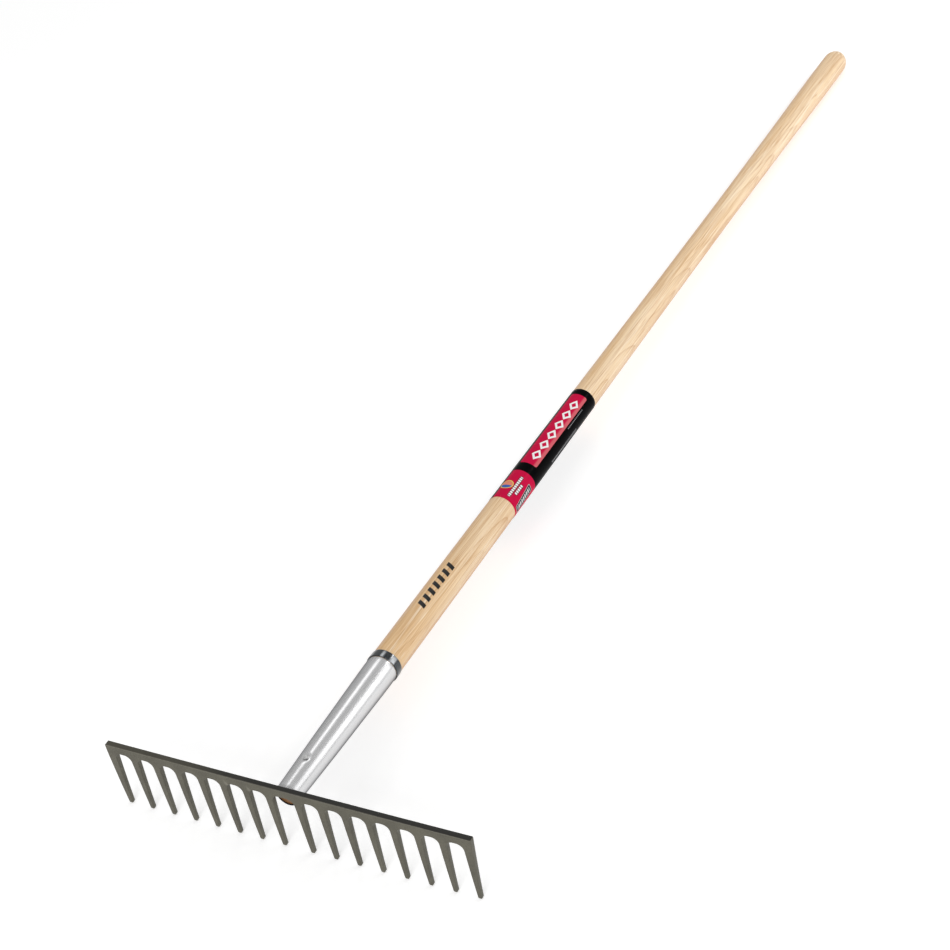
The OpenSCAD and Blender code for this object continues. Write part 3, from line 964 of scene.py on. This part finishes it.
RING_CROWN = 0.12 * MM
RING_EDGE = 0.9 * MM
RING_BORE_EDGE = 0.3 * MM


def make_ring(material):
    """A slightly crowned band with rounded edges."""
    low, high = span("collar_ring")
    outer = float(outside("collar_ring")[1].max())
    bore = float(node_points("collar_ring")[1].min())
    count = 7
    points = []
    for i in range(count):
        t = i / (count - 1)
        points.append((low + (high - low) * t, outer - RING_CROWN * (2 * t - 1) ** 2))
    points += [(high, bore), (low, bore)]
    corners = [RING_EDGE] + [0] * (count - 2) + [RING_EDGE, RING_BORE_EDGE, RING_BORE_EDGE]
    verts, faces = lathe_mesh(rounded_loop(points, corners, 5), 160, True)
    new_piece("collar_ring_band", verts, faces, material, "collar_ring", 35)


HANDLE_COUNT = 144
BUTT_LENGTH = 23 * MM
BUTT_STEPS = 24
BODY_STEPS = 150
END_EDGE = 0.5 * MM  # slant of the edge round the end grain
WOOD_PROUD = 2.2 * MM  # how far the end grain stands nearer the ferrule's mouth than the plain model has it


def handle_profile():
    """(place, radius) from the wood's lower end to the butt, from the CAD handle's own outside."""
    places, radii = outside("handle")
    low, high = span("handle")
    ring_high = span("collar_ring")[1]
    seat = [(s, r) for s, r in zip(places, radii) if s < ring_high + 0.4 * MM]
    low, low_r = low - WOOD_PROUD, seat[0][1]
    start = [(low, 0.0), (low, low_r * 0.5), (low, low_r - END_EDGE), (low + 0.4 * MM, low_r)]
    butt = high - BUTT_LENGTH
    butt_r = float(np.interp(butt - 1 * MM, places, radii))
    body_places = np.linspace(ring_high + 1.2 * MM, butt, BODY_STEPS)[:-1]
    body = [(float(s), float(np.interp(s, places, radii))) for s in body_places]
    dome = []
    for i in range(BUTT_STEPS):
        a = math.pi / 2 * i / BUTT_STEPS
        dome.append((butt + (BUTT_LENGTH - SKIN) * math.sin(a), butt_r * math.cos(a)))
    return start + seat[1:] + body + dome + [(high - SKIN, 0.0)]


def make_handle(material):
    """The wood, solid from its end inside the ferrule to the rounded butt."""
    ring_high = span("collar_ring")[1]

    def hand_sanded(s, r, a):
        """The sanded wood is never quite round: 0.01 to 0.13 mm under its full size."""
        if s < ring_high:
            return 0.0
        wave = math.sin(2 * a + 9 * s) * math.sin(23 * s + 0.7) + 0.5 * math.sin(3 * a - 17 * s + 1.1)
        return -0.04 * MM * (1.8 + wave) * smooth((s - ring_high) / 0.02)

    verts, faces = lathe_mesh(handle_profile(), HANDLE_COUNT, False, hand_sanded)
    new_piece("handle_wood", verts, faces, material, "handle", 50)


PIN_HEAD_R = 3.1 * MM
PIN_SHANK_R = 1.6 * MM
PIN_HEAD = 1.1 * MM  # height of a head
DOME_STEPS = 8


def make_pin(material):
    """A pin right across the ferrule with a low hammered dome at each end."""
    low_end, high_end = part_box("cross_pin")
    half = (Vector(high_end) - Vector(low_end)).z / 2
    side = []
    for i in range(DOME_STEPS + 1):
        t = i / DOME_STEPS
        side.append((half - PIN_HEAD * 0.82 * t**2.2, PIN_HEAD_R * t**0.8))
    side.append((half - PIN_HEAD * 0.95, PIN_HEAD_R * 0.985))
    side.append((half - PIN_HEAD - 0.05 * MM, PIN_HEAD_R * 0.93))
    under = half - PIN_HEAD - 0.45 * MM
    side += [(under, PIN_HEAD_R * 0.80), (under, PIN_SHANK_R), (0.0, PIN_SHANK_R)]
    profile = side + [(-s, r) for s, r in side[-2::-1]]
    verts, faces = lathe_mesh(profile[::-1], 40, False)
    upright = TOOL @ Matrix.Translation((0, PIN_PLACE, 0)) @ Matrix.Rotation(math.pi / 2, 4, "X")
    new_piece("cross_pin_rivet", verts, faces, material, "cross_pin", 60, upright)


FILM = 0.11 * MM
FILM_GAP = 0.05 * MM  # between the wood and the film
FILM_EDGE = 0.05 * MM
SEAM_AT = math.radians(222)
OVERLAP = math.radians(14)
LAP_RAMP = math.radians(5)  # the film climbs onto its own start over this angle
FILM_COLUMNS, FILM_ROWS = 170, 60


def film_section(low, high):
    """(place, height) round a cut along the film, from its lower end."""
    between = [low + (high - low) * i / FILM_ROWS for i in range(1, FILM_ROWS)]
    loop = [(low, 0.0), (low, FILM - FILM_EDGE), (low + FILM_EDGE, FILM)]
    loop += [(s, FILM) for s in between]
    loop += [(high - FILM_EDGE, FILM), (high, FILM - FILM_EDGE), (high, 0.0)]
    return loop + [(s, 0.0) for s in between[::-1]]


def make_label(material):
    """A printed film wrapped round the wood, with one end lapped over the other at the back."""
    places, radii = outside("handle")
    loop = film_section(*span("label_wrap"))
    n = len(loop)
    verts, faces = [], []
    for i in range(FILM_COLUMNS + 1):
        t = (TAU + OVERLAP) * i / FILM_COLUMNS
        a = SEAM_AT + t
        lift = FILM_GAP + FILM * 1.05 * smooth((t - TAU + LAP_RAMP) / LAP_RAMP)
        for s, height in loop:
            r = float(np.interp(s, places, radii)) + lift + height
            verts.append((r * math.sin(a), s, r * math.cos(a)))
    for i in range(FILM_COLUMNS):
        for k in range(n):
            m = (k + 1) % n
            faces.append((i * n + k, (i + 1) * n + k, (i + 1) * n + m, i * n + m))
    faces.append(list(range(n)))
    faces.append([FILM_COLUMNS * n + k for k in range(n)][::-1])
    new_piece("label_film", verts, faces, material, "label_wrap", 50)


# ---- build
LABEL_LOW = span("label_wrap")[0] / MM
LABEL_RADIUS = float(outside("label_wrap")[1].mean()) / MM
WOOD_MARKS = {
    "end_grain": (span("handle")[0] - WOOD_PROUD) / MM,
    "ring": span("collar_ring")[1] / MM,
    "radius": 16.5,  # of the wood under the sign
    "low": 276.0,  # the sign's ends along the handle
    "high": 350.0,
    "bars": (2.8, 9.8, 10.6, 5.6, 0.5),  # arc of the middle, width across, pitch, a bar's width, lean
}
make_head(forged_material())
make_ferrule(drawn_steel_material(span("ferrule")[0]), dark_edge_material())
make_ring(gunmetal_material())
make_handle(wood_material(WOOD_MARKS))
make_pin(pin_material())
make_label(label_material(LABEL_RADIUS, LABEL_LOW))

# ---- floor, lights and camera
CENTRE = (CAD_LOW + CAD_HIGH) / 2
FLOOR_SIZE = 60.0
FLOOR_GAP = 0.0002  # the rake lies this far above the floor
FLOOR_GLOW = 0.34  # a light table, which keeps the shadows pale


def make_floor():
    """A pale glowing floor, which isn't part of the object."""
    m = Shade("studio_floor")
    fine = m.noise(m.point, 3.0, 3.0, 0.5)
    m.set(Base_Color=m.mix(fine, (0.88, 0.88, 0.88), (0.90, 0.90, 0.90)), Roughness=0.9)
    m.set(Specular_IOR_Level=0.1, Emission_Color=(1, 1, 1, 1), Emission_Strength=FLOOR_GLOW)
    h = FLOOR_SIZE / 2
    mesh = bpy.data.meshes.new("studio_floor")
    mesh.from_pydata([(-h, -h, 0), (h, -h, 0), (h, h, 0), (-h, h, 0)], [], [(0, 1, 2, 3)])
    mesh.materials.append(m.material)
    ob = linked("studio_floor", mesh)
    ob.location.z = CAD_LOW.z - FLOOR_GAP


def area_light(name, matrix, size, power):
    data = bpy.data.lights.new(name, "AREA")
    data.shape, data.size, data.size_y = "RECTANGLE", size[0], size[1]
    data.energy = power
    linked(name, data).matrix_world = matrix


def softbox(name, place, target, size, power):
    """A big light at a place, which faces a target."""
    away = (Vector(place) - Vector(target)).normalized()
    side = Vector((0, 0, 1)).cross(away).normalized()
    area_light(name, column_matrix(side, away.cross(side), away, place), size, power)


def strip(name, turn_deg, distance, along, length, width, power):
    """A narrow light that faces the handle, turned round it from its top towards +X and parallel to it.

    along is its middle's distance from the bar.
    """
    turn = math.radians(turn_deg)
    away = X_AXIS * math.sin(turn) + X_AXIS.cross(HANDLE_AXIS) * math.cos(turn)
    place = TOOL_ORIGIN + HANDLE_AXIS * along + away * distance
    matrix = column_matrix(HANDLE_AXIS.cross(away), HANDLE_AXIS, away, place)
    area_light(name, matrix, (width, length), power)


WORLD_STRENGTH = 0.60
KEY_AWAY = Vector((1.0, -4.8, 2.4))  # from the middle of the rake
STRIPS = (  # name, turn, distance, along, length, width, watts
    ("ferrule_wide_strip", 62.0, 1.2, 0.96, 0.5, 0.72, 1.75),
    ("ferrule_thin_strip", -20.0, 1.2, 0.96, 0.5, 0.38, 0.95),
    ("label_strip", 40.0, 1.2, 1.9, 1.3, 0.10, 4.6),
)


def make_lights():
    """A white surround, one big softbox in front and narrow strips for the sleeve and the film."""
    world = bpy.data.worlds.new("studio")
    bpy.context.scene.world = world
    world.use_nodes = True
    background = world.node_tree.nodes["Background"]
    background.inputs["Color"].default_value = (1.0, 1.0, 1.0, 1)
    background.inputs["Strength"].default_value = WORLD_STRENGTH
    softbox("key", CENTRE + KEY_AWAY, CENTRE, (2.4, 2.4), 98)
    for values in STRIPS:
        strip(*values)


# The camera stands in the head's frame, so that it keeps its view of the head if the rake's lie changes
LENS = 88.409
SENSOR = 36.0
CAMERA_PLACE = Vector((1.04725, -1.17401, 1.51881))
CAMERA_AZIMUTH = math.radians(33.181)
CAMERA_ELEVATION = math.radians(37.648)
CAMERA_ROLL = math.radians(11.148)
CLIP_NEAR, CLIP_FAR = 0.05, 100.0


def make_camera():
    """A camera that looks along its azimuth and elevation, rolled about its line of sight."""
    ca, ce = math.cos(CAMERA_AZIMUTH), math.cos(CAMERA_ELEVATION)
    look = Vector((-math.sin(CAMERA_AZIMUTH) * ce, ca * ce, -math.sin(CAMERA_ELEVATION)))
    level = look.cross(Vector((0, 0, 1))).normalized()
    right = level * math.cos(CAMERA_ROLL) - level.cross(look) * math.sin(CAMERA_ROLL)
    data = bpy.data.cameras.new("camera")
    data.lens, data.sensor_width = LENS, SENSOR
    data.clip_start, data.clip_end = CLIP_NEAR, CLIP_FAR
    ob = linked("camera", data)
    ob.matrix_world = HEAD @ column_matrix(right, right.cross(look), -look, CAMERA_PLACE)
    bpy.context.scene.camera = ob


make_floor()
make_lights()
make_camera()
bpy.context.scene.view_settings.view_transform = "Standard"
